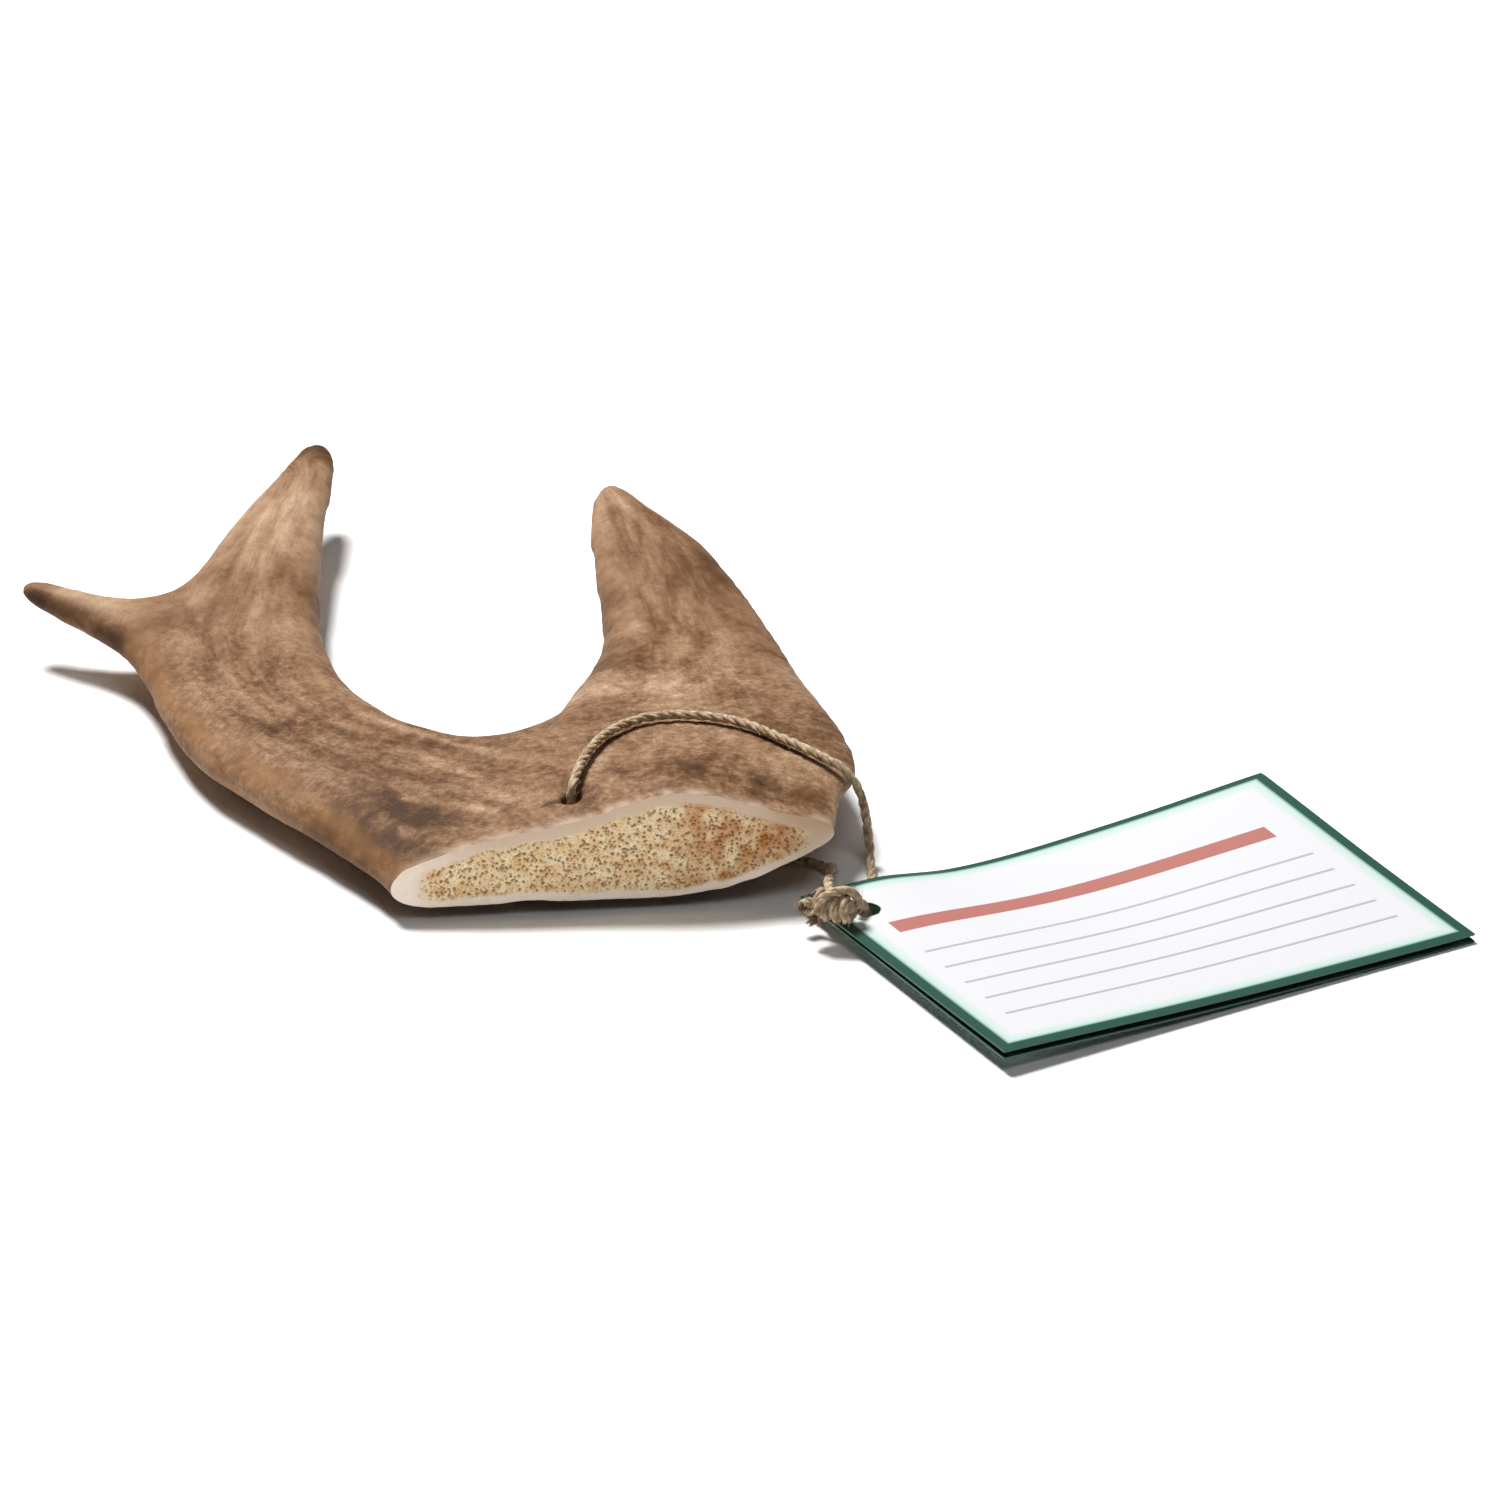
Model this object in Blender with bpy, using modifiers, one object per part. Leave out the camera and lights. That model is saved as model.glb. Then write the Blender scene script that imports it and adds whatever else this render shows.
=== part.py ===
"""A sawn-off fallow deer antler lying on its underside, with its twine, knot and folded tag."""

import math

import bpy
import bmesh
import numpy as np
from mathutils import Matrix, Vector

MM = 0.001

# The blade's outline in plan, in millimetres, clockwise seen from above. It runs on past the saw cut.
ARM_OUTER_EDGE = [
    (6.2, -94), (-5.1, -75.2), (-15.2, -61.8), (-28.5, -45.3), (-38.4, -31), (-44.4, -15.9), (-48.8, -1.5),
]
SPUR_LOWER_EDGE = [(-52.6, 5.2), (-57.2, 9.8), (-62.2, 13), (-66.7, 16.2)]
SPUR_TIP = [(-69.8, 18.8), (-70.6, 21.2), (-68.6, 23.2)]
SPUR_UPPER_EDGE = [(-62.5, 21.2), (-58.2, 20), (-53.5, 19.2), (-49.4, 20), (-45.8, 22.3), (-43.1, 26)]
UPPER_TINE_OUTER_EDGE = [(-39.1, 37.2), (-34, 52.6), (-29.4, 64.4), (-26.6, 72.2)]
UPPER_TINE_TIP = [(-24.2, 76.8), (-21, 77), (-19.3, 73)]
UPPER_TINE_INNER_EDGE = [(-19.6, 53), (-19.6, 33), (-18.7, 13.3), (-16.2, 0.8)]
CROTCH = [(-13.4, -8.1), (-6.8, -20.9), (0, -28.6), (9.9, -33.4), (18.4, -28.8), (23.7, -13.8), (27.5, 2)]
BROAD_TINE_INNER_EDGE = [(28.6, 11.2), (27.6, 25.9), (26.2, 41), (25.8, 56)]
BROAD_TINE_TIP = [(26.9, 63.6), (29.3, 65.8), (31.8, 64)]
BROAD_TINE_OUTER_EDGE = [(36.2, 57.6), (43.3, 48.2), (49.6, 35.8), (54.9, 20.8), (59, 5.8), (62.6, -10.4)]
RIGHT_EDGE = [
    (66.6, -25.2), (70, -38.2), (71.2, -46.5), (70.8, -51.8), (69, -56.6), (68.1, -63.4),
    (67.5, -70), (67, -92),
]

# Places where the blade's thickness and the height of its middle are known: x, y, thickness and height, in
# millimetres.
SECTIONS = [
    (2, -77, 8.5, 6.5), (12, -76, 11.6, 8.2), (22, -75, 12.9, 8.9), (30, -74, 15.4, 9.7), (38, -73, 18.6, 11.1),
    (46, -72, 17.8, 11.6), (53, -71, 13.9, 11.3), (60, -70, 8.2, 11.7), (66, -70, 5.6, 12.6),
    (25, -66, 11.4, 11.4), (40, -58, 14.6, 12.2), (40, -42, 12.2, 10.8), (65, -48, 7.5, 12.4), (10, -48, 10.4, 9),
    (-12, -42, 10.4, 8.4), (-30, -18, 10.4, 7.3), (-35, 6, 10.4, 7.8), (2, -35, 9.5, 9.2),
    (-31, 28, 9.6, 9.6), (-27, 50, 8.4, 11.8), (-23, 73, 6.6, 14),
    (-50, 12, 8.4, 9.4), (-60, 16, 8.2, 11.2), (-69, 20, 6, 12.7),
    (45, -18, 10.6, 9.2), (40, 8, 9.6, 6.9), (34, 34, 8.4, 8.6), (29, 57, 6, 11.2),
]
SECTION_EASE = 8.0
EDGE_ROUNDING = 8.0
EDGE_SHARE = 0.3

# The underside's belly, on which the blade rests: its depth, how far in from the edges and from the saw cut it
# starts, and how far it takes to come down, in millimetres.
BELLY_DEPTH = 3.0
BELLY_START = 6.0
BELLY_RUN = 10.0

# The slab that the blade is shaped from: half its thickness, and the fineness of the work.
BLANK_HALF = 3.0
SHAPING_VOXEL = 1.3
SMOOTHING_ROUNDS = 6
BLADE_TRIANGLES = 6200
CURVE_STEPS = 6

# The saw cut, a plane through these two points of the floor plan that stands upright.
CUT_LEFT = (-5, -77.9)
CUT_RIGHT = (67, -70.2)
WASTE_LOW = (-40, -60)
WASTE_HIGH = (120, 0)

# The forks: a point on the split, the way to the tine's tip in degrees from +X, the split's width, and how far
# the tine reaches past it, in millimetres.
SPLIT_GAP = 0.3
FORKS = {
    "broad_tine": ((43, -13), 104, 60, 90),
    "upper_tine": ((-32, 20), 72, 36, 80),
    "spur_tine": ((-48.5, 9.5), 152, 24, 40),
}

# How far every cutter runs below and above the floor, in millimetres.
CUTTER_BELOW = -20
CUTTER_ABOVE = 60
DRILL_SIDES = 16

# The twine and the hole that it passes through, in millimetres.
TWINE_WIDTH = 1.7
TWINE_STEP = 4.1
TWINE_ROUNDNESS = 2
HOLE_WIDTH = 3.4
HOLE = (25, -66.6)
OVER_ROUTE = [
    (25, -66.6, 11.6), (25, -66.6, 16.9), (25.2, -66.1, 18.5), (25.7, -63.6, 19.15), (26.7, -57.6, 19),
    (28.3, -51.4, 18.7), (30.6, -45.5, 18.2), (33.8, -41.1, 17.8), (38, -38.3, 17.6), (44, -38.2, 17.75),
    (51, -40.8, 17.95), (58, -46.8, 18.05), (65, -52.8, 17.35), (69.1, -55, 15.6), (71.3, -56, 12),
    (72.2, -56.4, 7.9), (72.7, -57.2, 3.6), (72.9, -59.6, 1.3), (73, -63, 0.95), (73, -69, 0.95),
    (72.8, -74.5, 0.95), (72.4, -77.5, 1.15), (72, -79.1, 2.2), (71.8, -80, 3.5), (71.5, -81.1, 4.9),
    (70.9, -82.1, 5.9), (70.4, -82.6, 6.3),
]
UNDER_ROUTE = [
    (25, -66.6, 10.8), (25, -66.6, 5.8), (26.2, -65.6, 2.4), (29.5, -63.2, 1.1), (34, -61, 0.95),
    (42, -58.7, 0.95), (53, -56.6, 0.95), (61, -57, 0.95), (65.6, -60.2, 1.3), (66.8, -64.4, 2.8),
    (66.5, -68, 4.4), (66.1, -72, 5.4), (65.9, -75.5, 6.2), (66, -78.6, 6.6), (66.2, -80.8, 6.8),
]

# The knot: its centre, its reach along, across and up, in millimetres, and its turn in degrees.
KNOT_CENTRE = (67.2, -85.2, 7)
KNOT_REACH = (4.2, 3.7, 3.2)
KNOT_TURN = -14
KNOT_SUBDIVISIONS = 3

# The folded tag, in millimetres: its corner at the knot, the way its long side runs, and its two leaves.
TAG_CORNER = (61.4, -74.3)
TAG_TURN = 30
TAG_LONG = 87.4
TAG_SHORT = 61.9
TAG_COLUMNS = 12
TAG_ROWS = 7
CARD = 0.35
FOLD_GAP = 0.3
LEAF_GAP = 0.9
TAG_HOLE_WIDTH = 4.6
TAG_HOLE = (6.3, 10)

# Places where the height of the card's lower leaf above the floor is known: along its long side from the corner
# at the knot, along its short side, height, in millimetres. The twine props it up at that corner.
CARD_LIFTS = [
    (0, 0, 2.4), (8, 0, 2.4), (15, 0, 2.2), (26, 0, 0.5), (40, 0, 0.05), (53, 0, 0.55), (67, 0, 1.35),
    (80, 0, 2.35), (87, 0, 2.85), (10, 6, 2.5), (0, 16, 2.5), (0, 32, 2.45), (0, 50, 2.4), (0, 62, 2.4),
    (10, 14, 2.4), (22, 20, 1.4), (30, 62, 1.1), (60, 62, 0.3), (87, 62, 0), (87, 30, 1.2), (45, 30, 0.4),
    (65, 30, 0.8),
]
CARD_EASE = 0.5

# Colour and roughness of each material.
ANTLER_LOOK = ((0.36, 0.235, 0.145), 0.75)
TWINE_LOOK = ((0.5, 0.36, 0.2), 0.9)
CARD_LOOK = ((0.86, 0.87, 0.9), 0.5)


def clear_scene():
    for thing in list(bpy.data.objects):
        bpy.data.objects.remove(thing, do_unlink=True)


def new_collection(name):
    collection = bpy.data.collections.new(name)
    bpy.context.scene.collection.children.link(collection)
    return collection


def plain_material(name, look):
    colour, roughness = look
    material = bpy.data.materials.new(name)
    material.use_nodes = True
    shader = material.node_tree.nodes["Principled BSDF"]
    shader.inputs["Base Color"].default_value = (*colour, 1)
    shader.inputs["Roughness"].default_value = roughness
    shader.inputs["Metallic"].default_value = 0
    return material


def add_object(name, mesh, collection, look=None):
    """An object with this mesh, and with a material of its own where a look is given."""
    thing = bpy.data.objects.new(name, mesh)
    collection.objects.link(thing)
    if look:
        mesh.materials.clear()
        mesh.materials.append(plain_material(name, look))
    return thing


def evaluated_mesh(thing):
    bpy.context.view_layer.update()
    return bpy.data.meshes.new_from_object(thing.evaluated_get(bpy.context.evaluated_depsgraph_get()))


def with_modifier(thing, kind, **settings):
    """Puts one modifier on an object and takes its result as the object's mesh."""
    modifier = thing.modifiers.new(kind.lower(), kind)
    for name, value in settings.items():
        setattr(modifier, name, value)
    mesh = evaluated_mesh(thing)
    thing.modifiers.remove(modifier)
    thing.data = mesh


def smooth_curve(points, closed):
    """A curve's evaluated points, through the given ones, as an array in metres."""
    data = bpy.data.curves.new("guide", "CURVE")
    data.dimensions = "3D"
    data.resolution_u = CURVE_STEPS
    spline = data.splines.new("BEZIER")
    spline.bezier_points.add(len(points) - 1)
    for knot, place in zip(spline.bezier_points, points):
        knot.co = Vector((*place, 0)[:3]) * MM
        knot.handle_left_type = "AUTO"
        knot.handle_right_type = "AUTO"
    spline.use_cyclic_u = closed
    guide = bpy.data.objects.new("guide", data)
    bpy.context.scene.collection.objects.link(guide)
    line = np.array([v.co[:] for v in evaluated_mesh(guide).vertices])
    bpy.data.objects.remove(guide)
    return line


def distance_inside(places, outline):
    """How far each place is from the outline in plan, in metres."""
    start = outline
    side = np.roll(outline, -1, axis=0) - start
    length = np.maximum((side * side).sum(1), 1e-18)
    best = np.full(len(places), np.inf)
    for begin, along, square in zip(start, side, length):
        share = np.clip((places - begin) @ along / square, 0, 1)
        best = np.minimum(best, np.linalg.norm(places - begin - share[:, None] * along, axis=1))
    return best


def bending_plate(known, column, ease):
    """A smooth function of x and y, bent like a thin plate close to one column of the known places' values."""
    known = np.array(known, float)
    places = known[:, :2]
    values = known[:, column]

    def pull(squares):
        return 0.5 * squares * np.log(np.maximum(squares, 1e-9))

    count = len(places)
    flat = np.column_stack([np.ones(count), places])
    squares = ((places[:, None] - places[None]) ** 2).sum(2)
    system = np.zeros((count + 3, count + 3))
    system[:count, :count] = pull(squares) + ease * np.eye(count)
    system[:count, count:] = flat
    system[count:, :count] = flat.T
    weights = np.linalg.solve(system, np.concatenate([values, np.zeros(3)]))

    def surface(where):
        squares = ((where[:, None] - places[None]) ** 2).sum(2)
        return pull(squares) @ weights[:count] + np.column_stack([np.ones(len(where)), where]) @ weights[count:]

    return surface


def antler_outline():
    return (
        ARM_OUTER_EDGE + SPUR_LOWER_EDGE + SPUR_TIP + SPUR_UPPER_EDGE + UPPER_TINE_OUTER_EDGE + UPPER_TINE_TIP
        + UPPER_TINE_INNER_EDGE + CROTCH + BROAD_TINE_INNER_EDGE + BROAD_TINE_TIP + BROAD_TINE_OUTER_EDGE
        + RIGHT_EDGE
    )


def flat_blank(collection):
    """The blade's outline filled and made a slab, with even small faces."""
    outline = smooth_curve(antler_outline(), closed=True)
    data = bpy.data.curves.new("blank", "CURVE")
    data.dimensions = "2D"
    data.fill_mode = "BOTH"
    data.extrude = BLANK_HALF * MM
    spline = data.splines.new("POLY")
    spline.points.add(len(outline) - 1)
    for knot, place in zip(spline.points, outline):
        knot.co = (place[0], place[1], 0, 1)
    spline.use_cyclic_u = True
    curve = bpy.data.objects.new("blank_curve", data)
    collection.objects.link(curve)
    mesh = evaluated_mesh(curve)
    bpy.data.objects.remove(curve)
    blank = add_object("blank", mesh, collection)
    with_modifier(blank, "WELD", merge_threshold=0.00001)
    with_modifier(blank, "REMESH", mode="VOXEL", voxel_size=SHAPING_VOXEL * MM)
    return blank, outline[:, :2]


def cut_inward():
    """The way from the saw cut into the antler, in plan."""
    along = np.subtract(CUT_RIGHT, CUT_LEFT)
    return np.array([-along[1], along[0]]) / np.linalg.norm(along)


def shaped_blade(collection):
    """The whole antler in one piece, still longer than the saw cut."""
    blade, outline = flat_blank(collection)
    count = len(blade.data.vertices)
    points = np.zeros(count * 3)
    blade.data.vertices.foreach_get("co", points)
    points = points.reshape(-1, 3)
    plan = points[:, :2] / MM
    thickness = bending_plate(SECTIONS, 2, SECTION_EASE)(plan)
    middle = bending_plate(SECTIONS, 3, SECTION_EASE)(plan)
    inside = distance_inside(points[:, :2], outline) / MM
    towards_edge = 1 - np.clip(inside / EDGE_ROUNDING, 0, 1)
    swell = np.maximum(EDGE_SHARE, np.sqrt(1 - towards_edge**2))
    level = np.clip(points[:, 2] / (BLANK_HALF * MM), -1, 1)
    from_cut = (plan - CUT_LEFT) @ cut_inward()
    way_in = np.clip((np.minimum(inside, from_cut) - BELLY_START) / BELLY_RUN, 0, 1)
    belly = BELLY_DEPTH * way_in**2 * (3 - 2 * way_in) * np.maximum(-level, 0)
    points[:, 2] = np.maximum(middle + level * swell * thickness / 2 - belly, 0) * MM
    blade.data.vertices.foreach_set("co", points.ravel())
    blade.data.update()
    with_modifier(blade, "REMESH", mode="VOXEL", voxel_size=SHAPING_VOXEL * MM)
    with_modifier(blade, "SMOOTH", factor=0.5, iterations=SMOOTHING_ROUNDS)
    triangles = sum(len(face.vertices) - 2 for face in blade.data.polygons)
    with_modifier(blade, "DECIMATE", ratio=BLADE_TRIANGLES / triangles, use_collapse_triangulate=True)
    return blade


def hide_cutter(cutter):
    cutter.hide_render = True
    cutter.display_type = "WIRE"


def cutter_box(name, low, high, place, turn, cutters):
    """A tall box between two corners of its own plan, put at a place and turned in degrees about the z axis."""
    form = bmesh.new()
    low = Vector((*low, CUTTER_BELOW)) * MM
    high = Vector((*high, CUTTER_ABOVE)) * MM
    size = Matrix.Diagonal(high - low).to_4x4()
    bmesh.ops.create_cube(form, size=1, matrix=Matrix.Translation((low + high) / 2) @ size)
    mesh = bpy.data.meshes.new(name)
    form.to_mesh(mesh)
    form.free()
    box = add_object(name, mesh, cutters)
    box.location = Vector((*place, 0)) * MM
    box.rotation_euler = (0, 0, math.radians(turn))
    hide_cutter(box)
    return box


def drill(name, place, width, cutters):
    form = bmesh.new()
    radius = width / 2 * MM
    depth = (CUTTER_ABOVE - CUTTER_BELOW) * MM
    bmesh.ops.create_cone(
        form, cap_ends=True, segments=DRILL_SIDES, radius1=radius, radius2=radius, depth=depth
    )
    mesh = bpy.data.meshes.new(name)
    form.to_mesh(mesh)
    form.free()
    bit = add_object(name, mesh, cutters)
    bit.location = Vector((*place, (CUTTER_BELOW + CUTTER_ABOVE) / 2)) * MM
    hide_cutter(bit)
    return bit


def fork_box(name, grow, cutters):
    """The box that holds one tine, from its fork out past its tip, begun a little before the fork."""
    place, turn, width, reach = FORKS[name]
    return cutter_box(name + "_split", (-grow, -width / 2), (reach, width / 2), place, turn, cutters)


def lay_on_floor(thing):
    low = min(v.co.z for v in thing.data.vertices)
    thing.data.transform(Matrix.Translation((0, 0, -low)))


def add_antler(parts, cutters):
    """The antler, sawn off flat, drilled for the twine, and split at its three forks."""
    blade = shaped_blade(cutters)
    cut_turn = math.degrees(math.atan2(CUT_RIGHT[1] - CUT_LEFT[1], CUT_RIGHT[0] - CUT_LEFT[0]))
    waste = cutter_box("waste", WASTE_LOW, WASTE_HIGH, CUT_LEFT, cut_turn, cutters)
    with_modifier(blade, "BOOLEAN", operation="DIFFERENCE", object=waste, solver="EXACT")
    bit = drill("twine_hole", HOLE, HOLE_WIDTH, cutters)
    with_modifier(blade, "BOOLEAN", operation="DIFFERENCE", object=bit, solver="EXACT")
    lay_on_floor(blade)
    for name in FORKS:
        tine = add_object(name, blade.data.copy(), parts)
        with_modifier(tine, "BOOLEAN", operation="INTERSECT", object=fork_box(name, 0, cutters), solver="EXACT")
        tine.data.materials.clear()
        tine.data.materials.append(plain_material(name, ANTLER_LOOK))
        wide_box = fork_box(name, SPLIT_GAP, cutters)
        with_modifier(blade, "BOOLEAN", operation="DIFFERENCE", object=wide_box, solver="EXACT")
    add_object("palm", blade.data.copy(), parts, ANTLER_LOOK)
    bpy.data.objects.remove(blade)


def add_twine(name, route, parts):
    line = smooth_curve(route, closed=False)
    along = np.concatenate([[0], np.cumsum(np.linalg.norm(np.diff(line, axis=0), axis=1))])
    steps = np.linspace(0, along[-1], round(along[-1] / (TWINE_STEP * MM)))
    data = bpy.data.curves.new(name, "CURVE")
    data.dimensions = "3D"
    data.bevel_depth = TWINE_WIDTH / 2 * MM
    data.bevel_resolution = TWINE_ROUNDNESS
    data.use_fill_caps = True
    spline = data.splines.new("POLY")
    spline.points.add(len(steps) - 1)
    for knot, step in zip(spline.points, steps):
        knot.co = (*(np.interp(step, along, line[:, axis]) for axis in range(3)), 1)
    twine = bpy.data.objects.new(name, data)
    parts.objects.link(twine)
    data.materials.append(plain_material(name, TWINE_LOOK))


def add_knot(parts):
    form = bmesh.new()
    bmesh.ops.create_icosphere(form, subdivisions=KNOT_SUBDIVISIONS, radius=MM)
    turn = Matrix.Rotation(math.radians(KNOT_TURN), 4, "Z")
    bmesh.ops.transform(form, matrix=turn @ Matrix.Diagonal((*KNOT_REACH, 1)), verts=form.verts)
    mesh = bpy.data.meshes.new("twine_knot")
    form.to_mesh(mesh)
    form.free()
    mesh.shade_smooth()
    knot = add_object("twine_knot", mesh, parts, TWINE_LOOK)
    knot.location = Vector(KNOT_CENTRE) * MM


def card_sheet():
    """The card's middle surface as one sheet: the lower leaf from its free edge to the fold, and back above."""
    form = bmesh.new()
    lift = bending_plate(CARD_LIFTS, 2, CARD_EASE)
    from_fold = [row / TAG_ROWS for row in range(TAG_ROWS + 1)]
    strip = [("lower", share) for share in reversed(from_fold)] + [("upper", share) for share in from_fold]
    lines = []
    for leaf, share in strip:
        line = []
        for column in range(TAG_COLUMNS + 1):
            long = TAG_LONG * column / TAG_COLUMNS
            short = TAG_SHORT * share
            height = CARD / 2 + max(0, lift(np.array([[long, short]]))[0])
            if leaf == "upper":
                height += CARD + FOLD_GAP + (LEAF_GAP - FOLD_GAP) * share
            line.append(form.verts.new((long * MM, -short * MM, height * MM)))
        lines.append(line)
    for near, far in zip(lines, lines[1:]):
        for column in range(TAG_COLUMNS):
            form.faces.new((near[column], near[column + 1], far[column + 1], far[column]))
    bmesh.ops.recalc_face_normals(form, faces=form.faces)
    mesh = bpy.data.meshes.new("tag")
    form.to_mesh(mesh)
    form.free()
    return mesh


def add_tag(parts, cutters):
    """One card folded once along its far long side, with the hole that the twine passes through."""
    tag = add_object("tag", card_sheet(), parts)
    with_modifier(tag, "SOLIDIFY", thickness=CARD * MM, offset=0, use_even_offset=True)
    bit = drill("tag_hole", (TAG_HOLE[0], -TAG_HOLE[1]), TAG_HOLE_WIDTH, cutters)
    with_modifier(tag, "BOOLEAN", operation="DIFFERENCE", object=bit, solver="EXACT")
    tag.data.materials.clear()
    tag.data.materials.append(plain_material("tag", CARD_LOOK))
    tag.location = Vector((*TAG_CORNER, 0)) * MM
    tag.rotation_euler = (0, 0, math.radians(TAG_TURN))


def main():
    clear_scene()
    parts = new_collection("fallow_deer_antler")
    cutters = new_collection("cutters")
    add_antler(parts, cutters)
    add_twine("twine_over", OVER_ROUTE, parts)
    add_twine("twine_under", UNDER_ROUTE, parts)
    add_knot(parts)
    add_tag(parts, cutters)


main()
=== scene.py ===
"""A sawn-off fallow deer antler lying on a pale floor, with its jute twine and its folded card tag."""

import math
import random

import bmesh
import bpy
import numpy as np
from mathutils import Matrix, Vector, geometry, noise


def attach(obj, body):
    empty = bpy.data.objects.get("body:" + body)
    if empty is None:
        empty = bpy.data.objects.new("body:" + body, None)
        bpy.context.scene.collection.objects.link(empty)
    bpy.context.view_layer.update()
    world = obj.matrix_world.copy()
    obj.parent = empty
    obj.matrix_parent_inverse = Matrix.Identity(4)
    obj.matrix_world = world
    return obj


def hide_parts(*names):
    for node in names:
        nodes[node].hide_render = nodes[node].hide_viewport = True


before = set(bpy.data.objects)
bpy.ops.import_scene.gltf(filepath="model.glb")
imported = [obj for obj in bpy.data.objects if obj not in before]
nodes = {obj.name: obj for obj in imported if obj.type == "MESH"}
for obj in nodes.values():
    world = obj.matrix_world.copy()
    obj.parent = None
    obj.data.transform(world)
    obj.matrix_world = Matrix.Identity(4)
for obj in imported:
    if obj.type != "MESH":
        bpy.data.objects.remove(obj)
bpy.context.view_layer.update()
MM = 0.001

# The photograph's viewpoint: a long lens that looks along +Y and 26 degrees down on the sawn end.
LOOKED_AT = Vector((53.5, -14.8, 0)) * MM
CAMERA_PITCH = math.radians(26)
CAMERA_DISTANCE = 1.30
camera_data = bpy.data.cameras.new("camera")
camera_data.lens = 187.9
camera_data.sensor_width = 36
camera_data.clip_start = 0.05
camera_data.clip_end = 20
camera = bpy.data.objects.new("camera", camera_data)
bpy.context.scene.collection.objects.link(camera)
camera.location = LOOKED_AT + CAMERA_DISTANCE * Vector((0, -math.cos(CAMERA_PITCH), math.sin(CAMERA_PITCH)))
camera.rotation_euler = (math.pi / 2 - CAMERA_PITCH, 0, 0)
bpy.context.scene.camera = camera


# The jute twine: three plies laid up into a limp 1.7 mm cord with loose hairs. It comes out of the drilled
# hole, lies over the top and drops past the right-hand edge to the floor. From there it goes under the card
# and up through its hole.
PLY_RADIUS = 0.43
PLY_OFFSET = 0.34
LAY_LENGTH = 6.6
HAIR_THICK = 0.07
HAIR_LOWEST = 0.1
RUN_STEP = 0.4
RUN_HAIRS = 150
HOLE_TOP = (25, -66.6, 17.5)
HOLE_BOTTOM = (25, -66.6, 5.7)
OVER_ROUTE = [
    (25, -66.6, 11.6), (25, -66.6, 16.9), (25.2, -66.1, 18.5), (25.7, -63.6, 19.15), (26.7, -57.6, 19),
    (28.3, -51.4, 18.7), (30.6, -45.5, 18.2), (33.8, -41.1, 17.8), (38, -38.3, 17.6), (44, -38.2, 17.75),
    (51, -40.8, 17.95), (58, -46.8, 18.05), (65, -52.8, 17.35), (69.1, -55, 15.6), (71.3, -56, 12),
    (72.2, -56.4, 7.9), (72.7, -57.2, 3.6), (72.9, -59.6, 1.3), (73, -63, 0.95), (73, -69, 0.95),
    (72.8, -74.5, 0.95), (72.4, -77.5, 1.15), (72, -79.1, 2.2), (71.8, -80, 3.5), (71.5, -81.1, 4.9),
    (70.9, -82.1, 5.9), (70.4, -82.6, 6.3),
]
UNDER_ROUTE = [
    (25, -66.6, 10.8), (25, -66.6, 5.8), (26.2, -65.6, 2.4), (29.5, -63.2, 1.1), (34, -61, 0.95),
    (42, -58.7, 0.95), (53, -56.6, 0.95), (61, -57, 0.95), (65.6, -60.2, 1.3), (66.8, -64.4, 2.8),
    (66.5, -68, 4.4), (66.1, -72, 5.4), (65.9, -75.5, 6.2), (66, -78.6, 6.6), (66.2, -80.8, 6.8),
]


def select_only(*things):
    bpy.ops.object.select_all(action="DESELECT")
    for thing in things:
        thing.select_set(True)
    bpy.context.view_layer.objects.active = things[-1]


def smooth_line(points, step):
    """A smooth curve through the points, in millimetres, as places that lie one step apart."""
    data = bpy.data.curves.new("line", "CURVE")
    data.dimensions = "3D"
    data.resolution_u = 12
    spline = data.splines.new("BEZIER")
    spline.bezier_points.add(len(points) - 1)
    for knot, place in zip(spline.bezier_points, points):
        knot.co = place
        knot.handle_left_type = "AUTO"
        knot.handle_right_type = "AUTO"
    line = bpy.data.objects.new("line", data)
    bpy.context.scene.collection.objects.link(line)
    bpy.context.view_layer.update()
    mesh = line.to_mesh()
    places = np.array([v.co[:] for v in mesh.vertices])
    line.to_mesh_clear()
    bpy.data.objects.remove(line)
    along = np.concatenate([[0], np.cumsum(np.linalg.norm(np.diff(places, axis=0), axis=1))])
    steps = np.linspace(0, along[-1], max(3, round(along[-1] / step) + 1))
    return np.column_stack([np.interp(steps, along, places[:, axis]) for axis in range(3)])


def carried_frames(line):
    """At each place of a line, two directions across it that turn as little as they can."""
    forward = np.gradient(line, axis=0)
    forward /= np.linalg.norm(forward, axis=1)[:, None]
    side = np.cross(forward[0], (0.3, 0.2, 1.0))
    sides = []
    for ahead in forward:
        side = side - ahead * (side @ ahead)
        side = side / np.linalg.norm(side)
        sides.append(side)
    sides = np.array(sides)
    return sides, np.cross(forward, sides)


def add_strand(data, places, radii):
    """One thread of a curve object: a polyline whose thickness varies along it."""
    spline = data.splines.new("POLY")
    spline.points.add(len(places) - 1)
    for knot, place, radius in zip(spline.points, places, radii):
        knot.co = (*(Vector(place) * MM), 1)
        knot.radius = radius


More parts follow.
